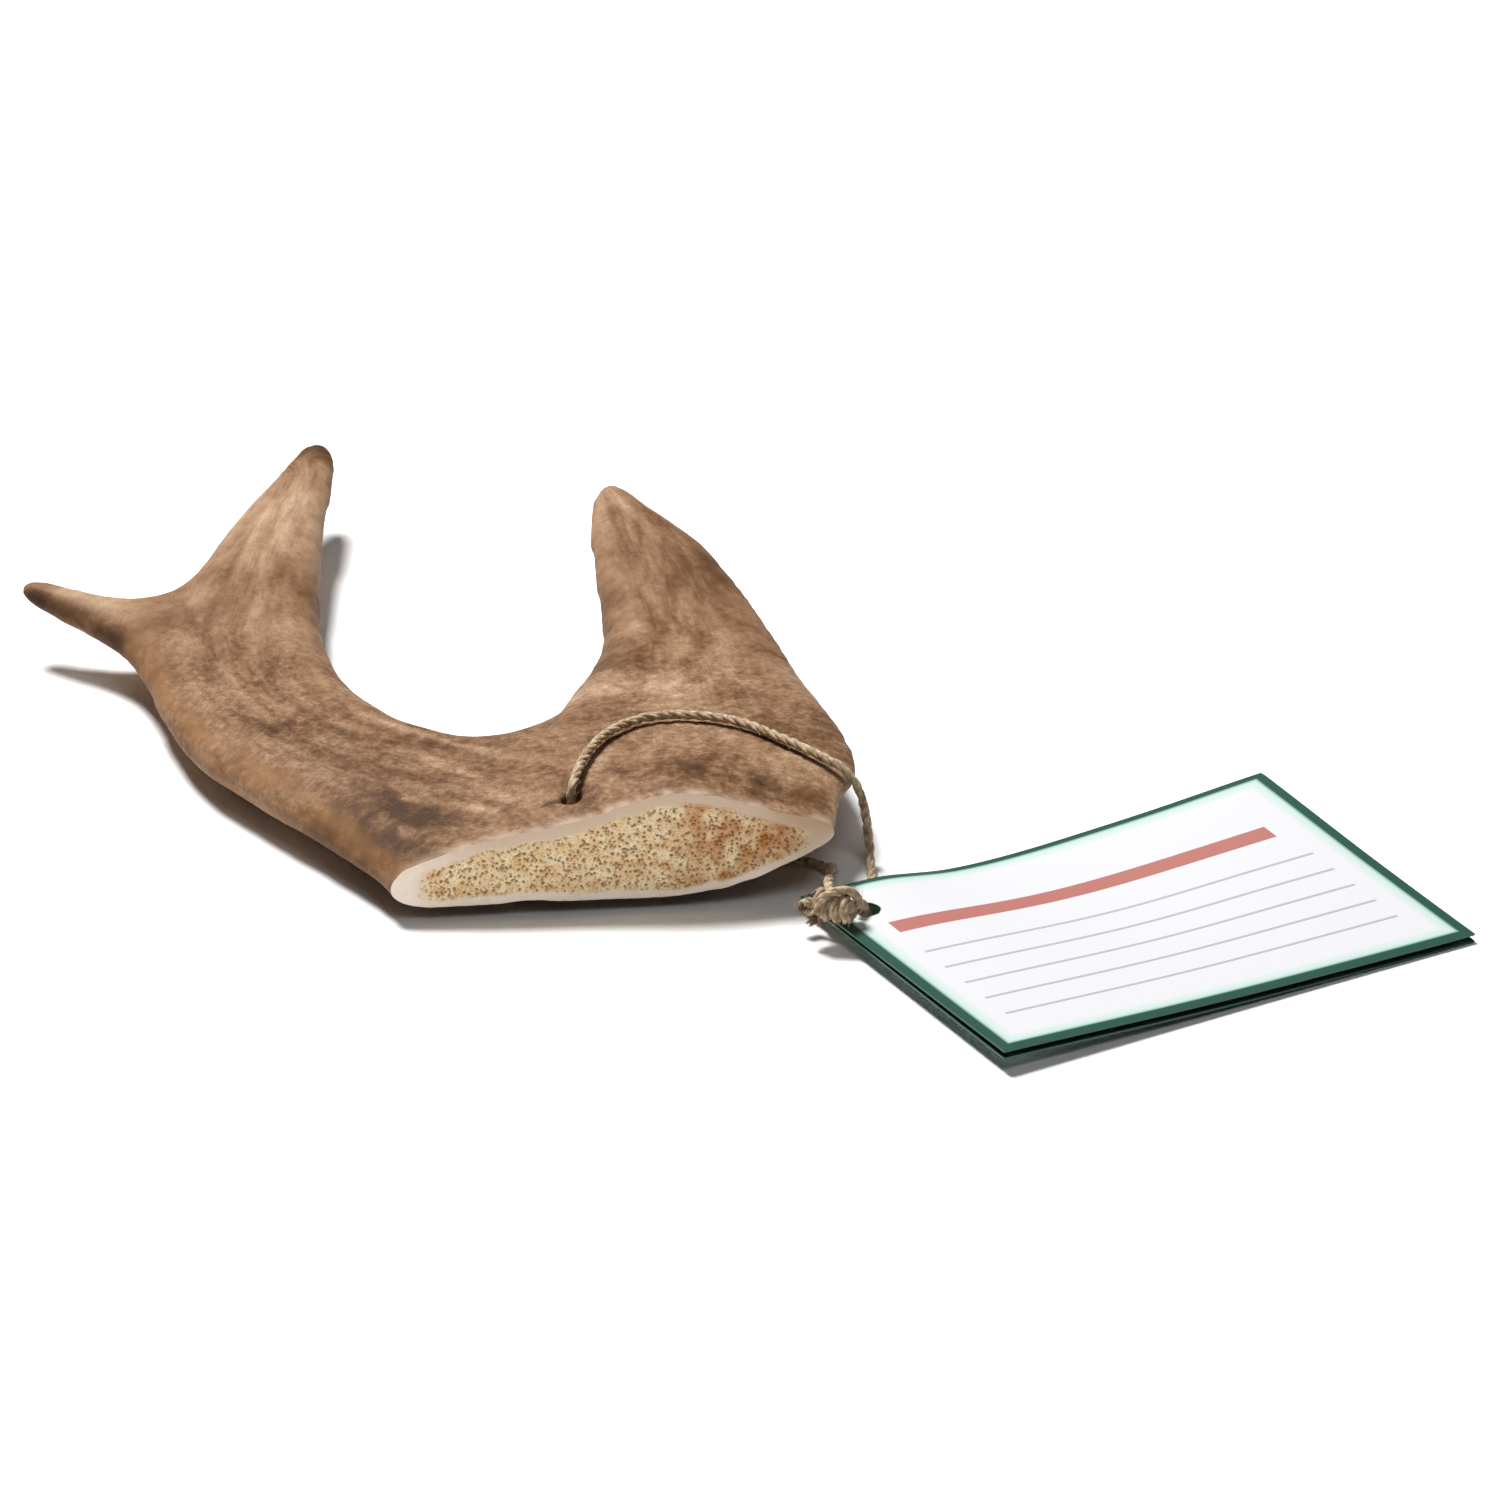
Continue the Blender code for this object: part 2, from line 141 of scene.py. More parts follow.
def lay_up_twine(data, line, dice, hairs, spread_end=0.0):
    """Three plies twisted round a line, with loose hairs. A cut end can be spread open, by millimetres."""
    sides, ups = carried_frames(line)
    along = np.concatenate([[0], np.cumsum(np.linalg.norm(np.diff(line, axis=0), axis=1))])
    spread_length = 1.2
    opening = spread_end * np.exp(-(along[-1] - along) / spread_length)
    for ply in range(3):
        turn = 2 * math.pi * (along / LAY_LENGTH + ply / 3)
        wobble = 1 + 0.1 * np.sin(along * 1.7 + ply * 2.1) * np.sin(along * 0.43 + ply)
        offset = (PLY_OFFSET + opening) * wobble
        places = line + offset[:, None] * (np.cos(turn)[:, None] * sides + np.sin(turn)[:, None] * ups)
        thick = 1 + 0.1 * np.sin(along * 2.3 + ply * 1.3) + 0.06 * np.sin(along * 5.1 + ply * 4.0)
        add_strand(data, places, thick)
    for _ in range(hairs):
        start = dice.randrange(len(line))
        length = dice.randint(4, 9)
        end = min(len(line) - 1, start + length)
        if end - start < 3:
            continue
        turn = dice.uniform(0, 2 * math.pi)
        lift = dice.uniform(0.1, 0.75)
        places = []
        for number, index in enumerate(range(start, end + 1)):
            share = number / (end - start)
            out = 0.7 + lift * share**1.5
            angle = turn + share * dice.uniform(0.4, 1.0)
            place = line[index] + out * (math.cos(angle) * sides[index] + math.sin(angle) * ups[index])
            place[2] = max(place[2], HAIR_LOWEST)
            places.append(place)
        add_strand(data, places, [HAIR_THICK] * len(places))


def finished_strands(name, data):
    """The strands of a curve made one mesh."""
    data.dimensions = "3D"
    data.bevel_depth = PLY_RADIUS * MM
    data.bevel_resolution = 2
    data.use_fill_caps = True
    thing = bpy.data.objects.new(name, data)
    bpy.context.scene.collection.objects.link(thing)
    select_only(thing)
    bpy.ops.object.convert(target="MESH")
    thing.data.shade_smooth()
    return thing


def new_material(name, roughness):
    material = bpy.data.materials.new(name)
    material.use_nodes = True
    shader = material.node_tree.nodes["Principled BSDF"]
    shader.inputs["Roughness"].default_value = roughness
    return material, material.node_tree, shader


def add_node(tree, kind, **settings):
    node = tree.nodes.new(kind)
    for name, value in settings.items():
        setattr(node, name, value)
    return node


def noise_on(tree, vector, scale, detail=3.0, rough=0.55, distortion=0.0):
    node = add_node(tree, "ShaderNodeTexNoise")
    node.inputs["Scale"].default_value = scale
    node.inputs["Detail"].default_value = detail
    node.inputs["Roughness"].default_value = rough
    node.inputs["Distortion"].default_value = distortion
    tree.links.new(vector, node.inputs["Vector"])
    return node.outputs["Fac"]


def stretched(tree, vector, scale):
    node = add_node(tree, "ShaderNodeMapping")
    node.inputs["Scale"].default_value = scale
    tree.links.new(vector, node.inputs["Vector"])
    return node.outputs["Vector"]


def ramp_on(tree, factor, stops):
    """A colour or grey that follows a value, from (place, colour) stops."""
    node = add_node(tree, "ShaderNodeValToRGB")
    ramp = node.color_ramp
    while len(ramp.elements) < len(stops):
        ramp.elements.new(0.5)
    for element, (place, colour) in zip(ramp.elements, stops):
        element.position = place
        element.color = (*colour, 1) if not isinstance(colour, (int, float)) else (colour, colour, colour, 1)
    tree.links.new(factor, node.inputs["Fac"])
    return node.outputs["Color"]


def mixed(tree, factor, first, second, blend="MIX"):
    """Two colours mixed; each of the three inputs is a socket or a plain value."""
    node = add_node(tree, "ShaderNodeMix", data_type="RGBA", blend_type=blend)
    for name, value in (("Factor", factor), ("A", first), ("B", second)):
        socket = node.inputs[name]
        if isinstance(value, bpy.types.NodeSocket):
            tree.links.new(value, socket)
        elif isinstance(value, (int, float)):
            socket.default_value = value
        else:
            socket.default_value = (*value, 1)
    return node.outputs["Result"]


def bump_from(tree, shader, height, strength, distance, under=None):
    node = add_node(tree, "ShaderNodeBump")
    node.inputs["Strength"].default_value = strength
    node.inputs["Distance"].default_value = distance
    tree.links.new(height, node.inputs["Height"])
    if under:
        tree.links.new(under, node.inputs["Normal"])
    tree.links.new(node.outputs["Normal"], shader.inputs["Normal"])
    return node.outputs["Normal"]


def jute_material():
    material, tree, shader = new_material("jute", 0.95)
    place = add_node(tree, "ShaderNodeTexCoord").outputs["Object"]
    coarse = noise_on(tree, place, 900, 3)
    fine = noise_on(tree, place, 5200, 2)
    colour = ramp_on(tree, coarse, [
        (0.3, (0.28, 0.18, 0.1)), (0.5, (0.46, 0.335, 0.215)), (0.7, (0.66, 0.53, 0.38)),
    ])
    colour = mixed(tree, 0.5, colour, ramp_on(tree, fine, [(0.35, 0.68), (0.65, 1.0)]), "MULTIPLY")
    tree.links.new(colour, shader.inputs["Base Color"])
    bump_from(tree, shader, fine, 0.5, 0.0002)
    return material


jute = jute_material()
twine_dice = random.Random(11)
for name, route, node, mouth in (
    ("jute_over", OVER_ROUTE, "twine_over", HOLE_TOP),
    ("jute_under", UNDER_ROUTE, "twine_under", HOLE_BOTTOM),
):
    line = smooth_line(route, RUN_STEP)
    strands = bpy.data.curves.new(name, "CURVE")
    lay_up_twine(strands, line, twine_dice, RUN_HAIRS)
    cord = finished_strands(name, strands)
    cord.data.materials.append(jute)
    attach(cord, "root")
    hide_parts(node)


# The overhand knot that ties the twine's two ends, a tight ball on the card's corner, with two short cut ends
# that have frayed open towards the left. In each cut end sits a near-black ball, painted shade of the hollow
# between its splayed plies.
KNOT_CENTRE = (67.2, -85.2, 7)
KNOT_TURN = -14
KNOT_CROSSING = [
    (2.6, 2.2, -0.6), (3.0, 1.2, 1.2), (1.7, 0.3, 2.75), (-0.4, -0.8, 2.8), (-2.2, -1.9, 1.5),
    (-2.6, -2.4, -0.4),
]
KNOT_BRIDLE = [(-2.2, 2.1, -0.4), (-2.9, 1.3, 1.0), (-2.7, 0.1, 2.0), (-2.9, -1.1, 1.0), (-2.5, -1.6, -0.8)]
KNOT_ENDS = [
    [(66.0, -83.2, 6.0), (64.4, -81.2, 5.5), (62.9, -80.4, 5.1), (61.9, -81.5, 4.9)],
    [(66.6, -85.2, 5.9), (65.4, -84.4, 5.3), (64.2, -84.4, 5.1), (63.6, -86.0, 5.0)],
]
WRAP_TURNS = 2.7
WRAP_START = 0.6
WRAP_FROM = -2.0
WRAP_LENGTH = 4.6
WRAP_RADII = (2.15, 1.7)
WRAP_HEIGHT = -0.2
WRAP_STEPS = 150
WAD_RADII = (2.9, 2.1, 1.8)
FRAYS = 46
FRAY_THICK = (0.16, 0.15, 0.08)
# The size and set-forward of the painted shade balls in the cut ends.
END_SHADE_RADIUS = 0.72
END_SHADE_AHEAD = 0.15


def cut_end_of(route):
    """The tip of a cut end and the way that it points."""
    tip = Vector(route[-1])
    return tip, (tip - Vector(route[-2])).normalized()


def new_ball(subdivisions, placed, material):
    """A ball of 1 mm radius that a matrix in millimetres sizes and puts in place."""
    bpy.ops.mesh.primitive_ico_sphere_add(subdivisions=subdivisions, radius=1)
    ball = bpy.context.object
    ball.data.transform(Matrix.Scale(MM, 4) @ placed)
    ball.data.materials.append(material)
    return ball


knot_turn = Matrix.Translation(KNOT_CENTRE) @ Matrix.Rotation(math.radians(KNOT_TURN), 4, "Z")
wrap_line = []
for step in range(WRAP_STEPS + 1):
    share = step / WRAP_STEPS
    angle = 2 * math.pi * WRAP_TURNS * share + WRAP_START
    across, up = -WRAP_RADII[0] * math.sin(angle), WRAP_RADII[1] * math.cos(angle)
    wrap_line.append((WRAP_FROM + WRAP_LENGTH * share, across, up + WRAP_HEIGHT))
knot_strands = bpy.data.curves.new("jute_knot", "CURVE")
for line, hairs in (
    (np.array(wrap_line), 60), (smooth_line(KNOT_CROSSING, 0.25), 25), (smooth_line(KNOT_BRIDLE, 0.25), 20)
):
    placed = np.array([(knot_turn @ Vector(place))[:] for place in line])
    lay_up_twine(knot_strands, placed, twine_dice, hairs)
for end in KNOT_ENDS:
    lay_up_twine(knot_strands, smooth_line(end, 0.2), twine_dice, 60, spread_end=0.6)
    tip, ahead = cut_end_of(end)
    for _ in range(FRAYS):
        out = Vector((twine_dice.gauss(0, 1), twine_dice.gauss(0, 1), twine_dice.gauss(0, 1)))
        out = (out - ahead * out.dot(ahead)).normalized()
        reach = twine_dice.uniform(0.4, 1.0)
        held = tip - ahead * 1.3 + out * 0.6
        waist = tip - ahead * 0.4 + out * 0.85
        loose = tip + ahead * (reach - 0.2) + out * (1.0 + reach * 0.35)
        add_strand(knot_strands, (held, waist, loose), FRAY_THICK)
knot = finished_strands("jute_knot", knot_strands)
knot.data.materials.append(jute)
# Near-black balls in the two cut ends: painted shade of the hollow between the frayed plies.
painted_end_shade, end_shade_tree, end_shade_shader = new_material("painted_end_shade", 0.95)
end_shade_place = add_node(end_shade_tree, "ShaderNodeTexCoord").outputs["Object"]
end_shade_fibres = noise_on(end_shade_tree, end_shade_place, 5200, 2)
end_shade_colour = ramp_on(end_shade_tree, end_shade_fibres, [(0.35, (0.035, 0.015, 0.007)), (0.65, (0.15, 0.08, 0.04))])
end_shade_tree.links.new(end_shade_colour, end_shade_shader.inputs["Base Color"])
end_shade_balls = []
for end in KNOT_ENDS:
    tip, ahead = cut_end_of(end)
    placed = Matrix.Translation(tip + ahead * END_SHADE_AHEAD) @ Matrix.Scale(END_SHADE_RADIUS, 4)
    end_shade_balls.append(new_ball(2, placed, painted_end_shade))
wad = new_ball(4, knot_turn @ Matrix.Diagonal((*WAD_RADII, 1)), jute)
wad.data.shade_smooth()
select_only(wad, *end_shade_balls, knot)
bpy.ops.object.join()
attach(knot, "root")
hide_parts("twine_knot")


# The tag: one sheet of card folded once along its far edge, its two leaves one on the other, with a hole
# punched through both at the corner. White, satin, with a printed dark green border and plain rules.
TAG_CORNER = (61.4, -74.3)
TAG_TURN = 30
TAG_LONG = 87.4
TAG_SHORT = 61.9
CARD = 0.35
CARD_GRID = (86, 121)
FOLD_GAP = 0.3
LEAF_GAP = 0.9
FOLD_BEND = 0.8
TAG_HOLE_WIDTH = 4.6
TAG_HOLE = (6.3, 10)
PUNCH_MIDDLE = 3
PUNCH_LENGTH = 20
CARD_LIFTS = [
    (0, 0, 2.4), (8, 0, 2.4), (15, 0, 2.2), (26, 0, 0.5), (40, 0, 0.05), (53, 0, 0.55), (67, 0, 1.35),
    (80, 0, 2.35), (87, 0, 2.85), (10, 6, 2.5), (0, 16, 2.5), (0, 32, 2.45), (0, 50, 2.4), (0, 62, 2.4),
    (10, 14, 2.4), (22, 20, 1.4), (30, 62, 1.1), (60, 62, 0.3), (87, 62, 0), (87, 30, 1.2), (45, 30, 0.4),
    (65, 30, 0.8),
]
CARD_EASE = 0.5
BORDER_GREEN = (0.009, 0.066, 0.042)
CARD_WHITE = (0.63, 0.63, 0.65)
RULE_RED = (0.36, 0.065, 0.035)
RULE_GREY = (0.15, 0.15, 0.17)
RULES = [(17.5, 1.9, 7.0, 78.0, RULE_RED, 0.85)]
RULES += [(far, 0.32, 7.0, 80.0, RULE_GREY, 0.5) for far in (27.0, 33.0, 39.0, 45.0, 51.0)]


def bent_like_plate(known, ease):
    """A smooth height over a plane that comes close to the known ones, as a thin plate bends."""
    known = np.array(known, float)
    places = known[:, :2]

    def pull(squares):
        return 0.5 * squares * np.log(np.maximum(squares, 1e-9))

    count = len(places)
    flat = np.column_stack([np.ones(count), places])
    system = np.zeros((count + 3, count + 3))
    system[:count, :count] = pull(((places[:, None] - places[None]) ** 2).sum(2)) + ease * np.eye(count)
    system[:count, count:] = flat
    system[count:, :count] = flat.T
    weights = np.linalg.solve(system, np.concatenate([known[:, 2], np.zeros(3)]))

    def height(where):
        squares = ((where[:, None] - places[None]) ** 2).sum(2)
        plane = np.column_stack([np.ones(len(where)), where])
        return pull(squares) @ weights[:count] + plane @ weights[count:]

    return height


def vertex_places(thing):
    places = np.zeros(len(thing.data.vertices) * 3)
    thing.data.vertices.foreach_get("co", places)
    return places.reshape(-1, 3)


def vertex_ways(thing):
    """The way that the surface faces at each vertex."""
    ways = np.zeros(len(thing.data.vertices) * 3)
    thing.data.vertices.foreach_get("normal", ways)
    return ways.reshape(-1, 3)


def move_vertices(thing, places):
    thing.data.vertices.foreach_set("co", places.ravel())
    thing.data.update()


def apply_modifier(thing, kind, **settings):
    modifier = thing.modifiers.new(kind.lower(), kind)
    for name, value in settings.items():
        setattr(modifier, name, value)
    select_only(thing)
    bpy.ops.object.modifier_apply(modifier=modifier.name)


bpy.ops.mesh.primitive_grid_add(x_subdivisions=CARD_GRID[0], y_subdivisions=CARD_GRID[1], size=1)
card = bpy.context.object
card.name = "card_tag"
flat_card = vertex_places(card)
along_card = (flat_card[:, 0] + 0.5) * TAG_LONG
unrolled = flat_card[:, 1] * 2 * TAG_SHORT
on_upper = unrolled > 0
from_fold = np.abs(unrolled)
lift = np.maximum(bent_like_plate(CARD_LIFTS, CARD_EASE)(np.column_stack([along_card, from_fold])), 0)
leaf_height = np.where(on_upper, CARD + FOLD_GAP + (LEAF_GAP - FOLD_GAP) * from_fold / TAG_SHORT, 0)
near_fold = np.clip(1 - from_fold / FOLD_BEND, 0, 1)
fold_height = (CARD + FOLD_GAP) / 2
leaf_height = leaf_height * (1 - near_fold) + fold_height * near_fold
card_height = CARD / 2 + lift + leaf_height
card_places = np.column_stack([along_card, -from_fold, card_height])
turned = Matrix.Translation((*TAG_CORNER, 0)) @ Matrix.Rotation(math.radians(TAG_TURN), 4, "Z")
turn_table = np.array(turned)
move_vertices(card, (card_places @ turn_table[:3, :3].T + turn_table[:3, 3]) * MM)
printed = card.data.attributes.new("printed", "FLOAT_VECTOR", "POINT")
printed.data.foreach_set("vector", np.column_stack([along_card, from_fold, on_upper]).ravel())
select_only(card)
bpy.ops.object.mode_set(mode="EDIT")
bpy.ops.mesh.select_all(action="SELECT")
bpy.ops.mesh.normals_make_consistent(inside=False)
bpy.ops.object.mode_set(mode="OBJECT")
apply_modifier(card, "SOLIDIFY", thickness=CARD * MM, offset=0, use_even_offset=True)
bpy.ops.object.shade_smooth_by_angle(angle=math.radians(40))
hole_place = turned @ Vector((TAG_HOLE[0], -TAG_HOLE[1], PUNCH_MIDDLE))
bpy.ops.mesh.primitive_cylinder_add(
    vertices=32, radius=TAG_HOLE_WIDTH / 2 * MM, depth=PUNCH_LENGTH * MM, location=hole_place * MM
)
punch = bpy.context.object
apply_modifier(card, "BOOLEAN", operation="DIFFERENCE", object=punch, solver="EXACT")
bpy.data.objects.remove(punch)


def worked_out(tree, operation, *values):
    """One sum on sockets or plain values."""
    node = add_node(tree, "ShaderNodeMath", operation=operation)
    for socket, value in zip(node.inputs, values):
        if isinstance(value, bpy.types.NodeSocket):
            tree.links.new(value, socket)
        else:
            socket.default_value = value
    return node.outputs[0]


def card_material():
    material, tree, shader = new_material("printed_card", 0.42)
    place = add_node(tree, "ShaderNodeAttribute", attribute_name="printed").outputs["Vector"]
    split = add_node(tree, "ShaderNodeSeparateXYZ")
    tree.links.new(place, split.inputs["Vector"])
    left = split.outputs["X"]
    far = split.outputs["Y"]
    right = worked_out(tree, "SUBTRACT", TAG_LONG, left)
    near = worked_out(tree, "SUBTRACT", TAG_SHORT, far)
    sideways = worked_out(tree, "MINIMUM", left, right)
    edge = worked_out(tree, "MINIMUM", sideways, worked_out(tree, "MINIMUM", far, near))
    inked = ramp_on(tree, worked_out(tree, "DIVIDE", edge, 10.0), [
        (0.0, BORDER_GREEN), (0.17, BORDER_GREEN), (0.215, (0.33, 0.48, 0.42)), (0.25, (0.46, 0.6, 0.545)),
        (0.46, CARD_WHITE),
    ])
    for middle, half, start, end, ink, weight in RULES:
        across = worked_out(tree, "COMPARE", far, middle, half)
        within = worked_out(tree, "COMPARE", left, (start + end) / 2, (end - start) / 2)
        mask = worked_out(tree, "MULTIPLY", worked_out(tree, "MULTIPLY", across, within), split.outputs["Z"])
        inked = mixed(tree, worked_out(tree, "MULTIPLY", mask, weight), inked, ink)
    tree.links.new(inked, shader.inputs["Base Color"])
    grain = noise_on(tree, add_node(tree, "ShaderNodeTexCoord").outputs["Object"], 2600, 3)
    bump_from(tree, shader, grain, 0.1, 0.0001)
    return material


card.data.materials.clear()
card.data.materials.append(card_material())
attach(card, "root")
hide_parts("tag")


# The antler itself, one grown piece of bone: copies of the four solids are joined through their forks, closed
# into one fine skin, given its low relief, and sawn off flat again.
SAW_LEFT = (-5, -77.9)
SAW_RIGHT = (67, -70.2)
SAW_ALLOWANCE = 5.0
FORK_REACH = 1.0
SKIN_VOXEL = 0.61
SMOOTHING = 12
BULK_SMOOTHING = 30
SWELL_HEIGHT = 0.2
GROOVE_DEPTH = 0.12
STREAK_HEIGHT = 0.06
DIMPLE_DEPTH = 0.05
FORKS = {"broad_tine": ((43, -13), 104), "upper_tine": ((-32, 20), 72), "spur_tine": ((-48.5, 9.5), 152)}
saw_along = Vector((SAW_RIGHT[0] - SAW_LEFT[0], SAW_RIGHT[1] - SAW_LEFT[1], 0)).normalized()
saw_out = Vector((saw_along.y, -saw_along.x, 0))
saw_place = Vector((*SAW_LEFT, 0))


def flat_end_moved(thing, place, way, distance):
    """Moves the vertices of a solid's flat end along the way that it faces, in millimetres."""
    places = vertex_places(thing) / MM
    place = np.array(place)
    way = np.array(way)
    on_end = np.abs((places - place) @ way) < 0.05
    places[on_end] += way * distance
    move_vertices(thing, places * MM)


skins = []
for name in ("palm", "broad_tine", "upper_tine", "spur_tine"):
    skin = bpy.data.objects.new(name + "_skin", nodes[name].data.copy())
    bpy.context.scene.collection.objects.link(skin)
    apply_modifier(skin, "WELD", merge_threshold=0.00001)
    if name == "palm":
        flat_end_moved(skin, saw_place, saw_out, SAW_ALLOWANCE)
    else:
        fork_place, fork_turn = FORKS[name]
        back_way = (-math.cos(math.radians(fork_turn)), -math.sin(math.radians(fork_turn)), 0)
        flat_end_moved(skin, (*fork_place, 0), back_way, FORK_REACH)
    skins.append(skin)
select_only(*skins)
bpy.ops.object.join()
antler = bpy.context.object
antler.name = "antler"
apply_modifier(antler, "REMESH", mode="VOXEL", voxel_size=SKIN_VOXEL * MM)
rough_places = vertex_places(antler)
apply_modifier(antler, "SMOOTH", factor=0.5, iterations=SMOOTHING)
skin_places = vertex_places(antler)
sides = np.zeros(len(antler.data.edges) * 2, int)
antler.data.edges.foreach_get("vertices", sides)
first_ends, second_ends = sides.reshape(-1, 2).T
neighbours = np.bincount(sides, minlength=len(skin_places))
ways = vertex_ways(antler)
bulk_lost = ((rough_places - skin_places) * ways).sum(1)
for _ in range(BULK_SMOOTHING):
    around = np.bincount(first_ends, bulk_lost[second_ends], len(skin_places))
    around += np.bincount(second_ends, bulk_lost[first_ends], len(skin_places))
    bulk_lost = 0.5 * bulk_lost + 0.5 * around / neighbours
move_vertices(antler, skin_places + ways * bulk_lost[:, None])

# How the bone grew: its grain runs from the sawn end round the gap and out along each tine.
OUTER_LEFT = [
    (2, -86), (-13, -63), (-28, -44), (-39, -29), (-46, -12), (-49, 4), (-44, 24), (-37, 42), (-30, 62),
]
INNER_GAP = [
    (-21, 66), (-22, 33), (-19, 8), (-15, -12), (-7, -26), (8, -33), (18, -31), (25, -15), (28.5, 6),
    (27, 32), (26, 60),
]
OUTER_RIGHT = [(67, -90), (68, -62), (71, -46), (65, -25), (58, 5), (49, 35), (38, 55), (32, 64)]


def distance_to_line(plan, points):
    best = np.full(len(plan), np.inf)
    for start, end in zip(np.array(points[:-1], float), np.array(points[1:], float)):
        side = end - start
        share = np.clip((plan - start) @ side / (side @ side), 0, 1)
        best = np.minimum(best, np.linalg.norm(plan - start - share[:, None] * side, axis=1))
    return best


def grain_of(places):
    """For places in millimetres, the position across the grain, along it and up, also in millimetres."""
    plan = places[:, :2]
    lines = (OUTER_LEFT, INNER_GAP, OUTER_RIGHT)
    left, gap, right = (1 / (distance_to_line(plan, points) + 2.0) ** 2 for points in lines)
    across = 30 * (gap + 2 * right) / (left + gap + right)
    along = plan[:, 1] - 0.9 * np.minimum(plan[:, 0] + 46, 0)
    return np.column_stack([across, along, places[:, 2]])


def noise_at(places, scale, seed):
    """Soft noise between about -1 and 1 at each place."""
    shift = Vector((seed * 13.7, seed * 5.3, seed * 9.1))
    return np.array([noise.noise(Vector(place) + shift) for place in places / np.array(scale)])


def eased(values):
    values = np.clip(values, 0, 1)
    return values * values * (3 - 2 * values)


skin_places = vertex_places(antler) / MM
skin_grain = grain_of(skin_places)
swell = SWELL_HEIGHT * noise_at(skin_places, 11, 1)
ribs = noise_at(skin_grain, (3.2, 34, 9), 2)
grooves = -GROOVE_DEPTH * np.clip(1 - np.abs(ribs) / 0.16, 0, 1) ** 1.5
streaks = STREAK_HEIGHT * noise_at(skin_grain, (1.1, 12, 3), 3)
dimples = -DIMPLE_DEPTH * eased(noise_at(skin_places, 2.2, 4) * 2 - 0.2)
near_floor = np.clip((skin_places[:, 2] - 0.4) / 1.5, 0, 1)
near_cut = (skin_places - np.array(saw_place)) @ np.array(saw_out)
raise_by = (swell + grooves + streaks + dimples) * near_floor * np.clip(-(near_cut + 0.5) / 3, 0.25, 1)
skin_places = skin_places + vertex_ways(antler) * raise_by[:, None]
skin_places[:, 2] = np.maximum(skin_places[:, 2], 0)
move_vertices(antler, skin_places * MM)

# The saw's cut. The skin is cut off along the plane and the opening is closed with fine triangles, so that the
# pores of the marrow can be sunk into it.
PORE_STEP = 0.21
PORE_DEPTH = 0.3
PORE_ROOM = (0.66, 0.6)
select_only(antler)
bpy.ops.object.mode_set(mode="EDIT")
bpy.ops.mesh.select_all(action="SELECT")
bpy.ops.mesh.bisect(plane_co=saw_place * MM, plane_no=saw_out, clear_outer=True, use_fill=False)
bpy.ops.object.mode_set(mode="OBJECT")
shell = bmesh.new()
shell.from_mesh(antler.data)
rim_edge = next(edge for edge in shell.edges if edge.is_boundary)
rim = [rim_edge.verts[0]]
while rim_edge.other_vert(rim[-1]) is not rim[0]:
    rim.append(rim_edge.other_vert(rim[-1]))
    rim_edge = next(edge for edge in rim[-1].link_edges if edge.is_boundary and edge is not rim_edge)
rim_flat = np.array([((v.co / MM - saw_place).dot(saw_along), v.co.z / MM) for v in rim])
rim_closed = np.vstack([rim_flat, rim_flat[:1]])


def inside_outline(places, outline):
    inside = np.zeros(len(places), bool)
    for (x0, y0), (x1, y1) in zip(outline, np.roll(outline, -1, axis=0)):
        if y0 != y1:
            crosses = (y0 > places[:, 1]) != (y1 > places[:, 1])
            inside ^= crosses & (places[:, 0] < x0 + (places[:, 1] - y0) * (x1 - x0) / (y1 - y0))
    return inside


low = rim_flat.min(0)
high = rim_flat.max(0)
row_step = PORE_STEP * 0.87
columns, rows = np.meshgrid(np.arange(low[0], high[0], PORE_STEP), np.arange(low[1], high[1], row_step))
columns[1::2] += PORE_STEP / 2
dots = np.column_stack([columns.ravel(), rows.ravel()])
dots = dots[inside_outline(dots, rim_flat)]
dots = dots[distance_to_line(dots, rim_closed) > PORE_STEP * 0.6]
corners = [Vector(place) for place in np.vstack([rim_flat, dots])]
rim_sides = [(index, (index + 1) % len(rim)) for index in range(len(rim))]
filled = geometry.delaunay_2d_cdt(corners, rim_sides, [], 1, 1e-6)
face_verts = list(rim)
for place in filled[0][len(rim):]:
    face_verts.append(shell.verts.new((saw_place + saw_along * place.x + Vector((0, 0, place.y))) * MM))
for trio in filled[2]:
    face = shell.faces.new([face_verts[index] for index in trio])
    face.material_index = 1
    face.smooth = True
    face.normal_update()
    if face.normal.dot(saw_out) < 0:
        face.normal_flip()
antler.data.materials.clear()
shell.to_mesh(antler.data)
shell.free()

# What the bone's skin and the sawn face look like where, kept as values on the vertices for the two materials
# to read: patches, streaks along the grain, the worn tan edge, the rim and the stained marrow, and in the
# skin's tone also painted shade on the spur's forward sides and a painted highlight on the right-hand wall.
# Each patch has its middle, how far it reaches in x and y, and how much paler or darker it is.
PATCHES = [
    (-21.6, -32, 8, 5, -0.9), (-6, -64, 10, 9, -2.3), (-14, -52, 9, 7, -0.35), (5, -41, 10, 5, -0.45),
    (57, -63, 14, 5, -1.0), (38, -62, 18, 6, -0.55), (28, -1, 4.5, 12, -0.9), (46, 30, 6, 16, -0.9),
    (-28, 44, 12, 16, 1.3), (-58, 15, 9, 6, 1.9), (36, -20, 14, 8, 1.3), (28, 61, 6, 8, 0.9),
    (-22, 74, 6, 7, -1.6), (-25, -8, 10, 10, 0.1), (12, -60, 10, 6, 0.3),
]
PALE_STREAKS = [
    [(-15, -32), (-4, -40), (10, -54)], [(-2, -58), (6, -62), (14, -67)], [(-12, -28), (2, -38), (18, -50)],
]
DARK_MARK_BY_HOLE = [(20.6, -67.9), (22, -67.2), (23.2, -67.5)]
RED_SPOTS = [(62.8, 14.2, 1.5), (61.6, 11.6, 1.3)]


def fading(distances, reach):
    return np.exp(-((distances / reach) ** 2))


